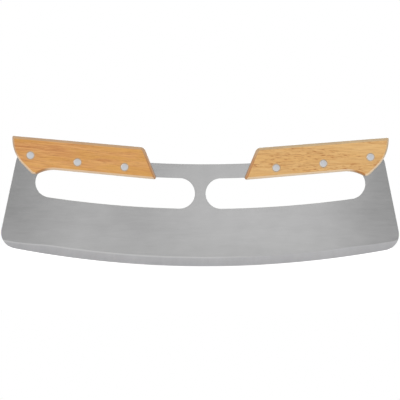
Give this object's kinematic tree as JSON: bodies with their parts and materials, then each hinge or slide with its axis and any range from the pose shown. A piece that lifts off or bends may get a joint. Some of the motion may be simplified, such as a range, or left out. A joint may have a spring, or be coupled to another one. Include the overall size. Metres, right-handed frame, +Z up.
{
  "type": "rocking pizza knife",
  "caption": "Long curved steel blade with finger slots and a riveted wooden handle over each end, rocked on its edge with two hands to cut pizza.",
  "frame": {"origin": "lowest point of the curved cutting edge, in the middle of the plate's length and thickness", "axes": "+X along the knife to the right as seen from the front, +Z up from the edge to the handles, the front faces -Y"},
  "size_m": [0.355, 0.018, 0.1154],
  "materials": {
    "blade_steel": "satin, fine lengthwise grind, brighter ground bevel",
    "wood_left": "oiled, orange-tan, fine straight grain",
    "wood_right": "oiled, pale yellow-tan with short brown flecks",
    "rivet_steel": "ground flush, satin"
  },
  "bodies": {
    "root": {"blade": "blade_steel", "left_handle": "wood_left", "right_handle": "wood_right", "left_inner_rivet_male": "rivet_steel", "left_inner_rivet_female": "rivet_steel", "left_middle_rivet_male": "rivet_steel", "left_middle_rivet_female": "rivet_steel", "left_outer_rivet_male": "rivet_steel", "left_outer_rivet_female": "rivet_steel", "right_inner_rivet_male": "rivet_steel", "right_inner_rivet_female": "rivet_steel", "right_middle_rivet_male": "rivet_steel", "right_middle_rivet_female": "rivet_steel", "right_outer_rivet_male": "rivet_steel", "right_outer_rivet_female": "rivet_steel"}
  },
  "joints": []
}
